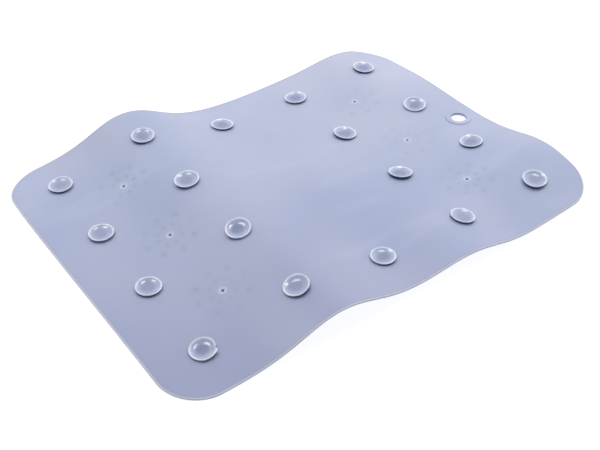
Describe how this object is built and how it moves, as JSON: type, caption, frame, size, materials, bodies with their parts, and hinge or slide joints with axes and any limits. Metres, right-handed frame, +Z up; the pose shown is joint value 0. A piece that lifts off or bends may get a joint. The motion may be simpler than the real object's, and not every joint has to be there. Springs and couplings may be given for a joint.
{
  "type": "foot massage mat",
  "caption": "Soft translucent vinyl foot massage mat lying in gentle waves with its suction cups up, nub flowers below and a hanging hole.",
  "frame": {"origin": "centre of the mat's bounding box in plan, at the level of the surface it rests on", "axes": "+X along the length towards the hanging hole, +Y across the width, +Z up, out of the face with the suction cups"},
  "size_m": [0.3962, 0.3, 0.0285],
  "materials": {
    "soft_vinyl": "translucent satin"
  },
  "bodies": {
    "root": {"massage_mat": "soft_vinyl"}
  },
  "joints": []
}
